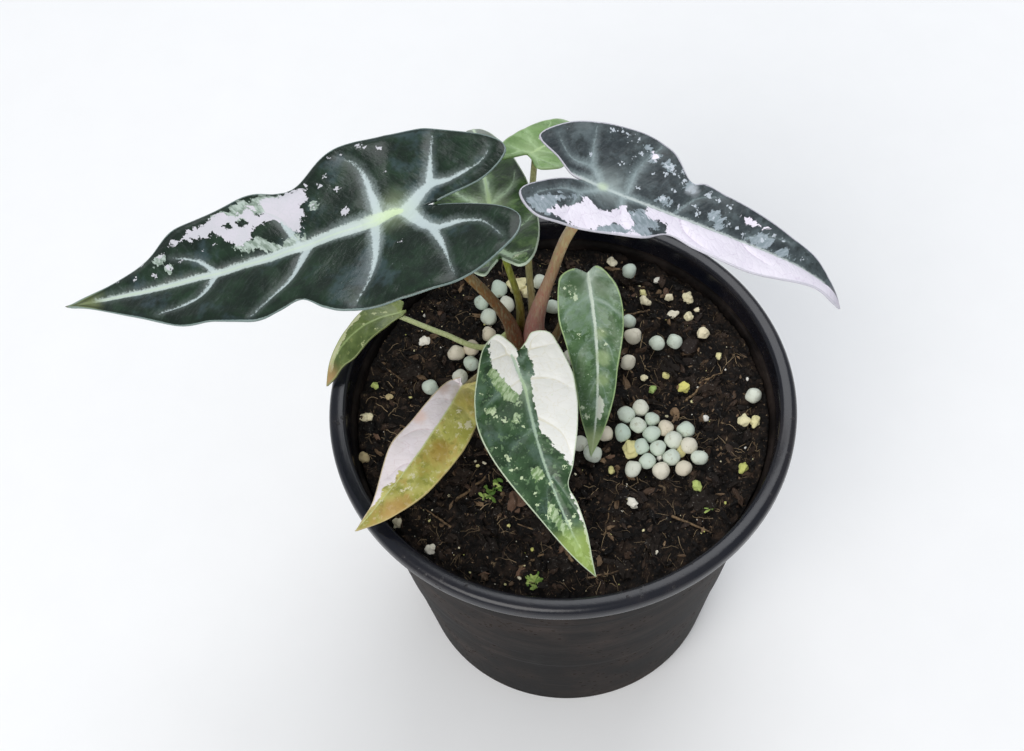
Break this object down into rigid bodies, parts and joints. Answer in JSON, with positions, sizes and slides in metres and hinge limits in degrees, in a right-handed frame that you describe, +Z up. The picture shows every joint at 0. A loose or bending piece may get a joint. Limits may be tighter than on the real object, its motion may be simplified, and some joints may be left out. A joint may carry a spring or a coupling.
{
  "type": "potted alocasia",
  "caption": "Small variegated alocasia with arrow-shaped leaves on curved petioles, growing in dark potting mix in a round tapered black nursery pot with a rolled rim.",
  "frame": {"origin": "centre of the pot's flat underside, where it rests", "axes": "+Z up along the pot's axis, -Y towards the plant's front, the largest leaf pointing to -X"},
  "size_m": [0.2308, 0.1643, 0.213],
  "materials": {
    "pot": "satin black rim, matt body",
    "soil": "loose dark peat, bark and perlite mix",
    "stem_crown": "dull, fibrous",
    "fertiliser_coat": "waxy resin coat",
    "leaf_large_left": "leathery, slate sheen, pink and cream patches",
    "leaf_large_right": "leathery, half dark green and half pink-white",
    "leaf_back_left": "leathery",
    "leaf_back_top": "young, light green",
    "leaf_small_left": "ageing, olive with a browned tip",
    "leaf_front_left": "half pink-white, half olive and orange",
    "leaf_front_centre": "leathery, cream and dark green",
    "leaf_front_right": "mid green with a silver sheen",
    "petiole_large_left": "brown, dark flecks",
    "petiole_large_right": "pinkish brown",
    "petiole_back_left": "olive green",
    "petiole_back_top": "tan olive",
    "petiole_small_left": "pale lime green",
    "petiole_front_left": "olive",
    "petiole_front_centre": "olive brown",
    "petiole_front_right": "brown"
  },
  "bodies": {
    "root": {"leaf_back_left": "leaf_back_left", "leaf_back_top": "leaf_back_top", "leaf_front_centre": "leaf_front_centre", "leaf_front_left": "leaf_front_left", "leaf_front_right": "leaf_front_right", "leaf_large_left": "leaf_large_left", "leaf_large_right": "leaf_large_right", "leaf_small_left": "leaf_small_left", "petiole_back_left": "petiole_back_left", "petiole_back_top": "petiole_back_top", "petiole_front_centre": "petiole_front_centre", "petiole_front_left": "petiole_front_left", "petiole_front_right": "petiole_front_right", "petiole_large_left": "petiole_large_left", "petiole_large_right": "petiole_large_right", "petiole_small_left": "petiole_small_left", "pot": "pot", "prill_01": "fertiliser_coat", "prill_02": "fertiliser_coat", "prill_03": "fertiliser_coat", "prill_04": "fertiliser_coat", "prill_05": "fertiliser_coat", "prill_06": "fertiliser_coat", "prill_07": "fertiliser_coat", "prill_08": "fertiliser_coat", "prill_09": "fertiliser_coat", "prill_10": "fertiliser_coat", "prill_11": "fertiliser_coat", "prill_12": "fertiliser_coat", "prill_13": "fertiliser_coat", "prill_14": "fertiliser_coat", "prill_15": "fertiliser_coat", "prill_16": "fertiliser_coat", "prill_17": "fertiliser_coat", "prill_18": "fertiliser_coat", "prill_19": "fertiliser_coat", "prill_20": "fertiliser_coat", "prill_21": "fertiliser_coat", "prill_22": "fertiliser_coat", "prill_23": "fertiliser_coat", "prill_24": "fertiliser_coat", "prill_25": "fertiliser_coat", "prill_26": "fertiliser_coat", "prill_27": "fertiliser_coat", "prill_28": "fertiliser_coat", "prill_29": "fertiliser_coat", "prill_30": "fertiliser_coat", "prill_31": "fertiliser_coat", "prill_32": "fertiliser_coat", "prill_33": "fertiliser_coat", "prill_34": "fertiliser_coat", "prill_35": "fertiliser_coat", "prill_36": "fertiliser_coat", "soil": "soil", "stem_crown": "stem_crown"}
  },
  "joints": []
}
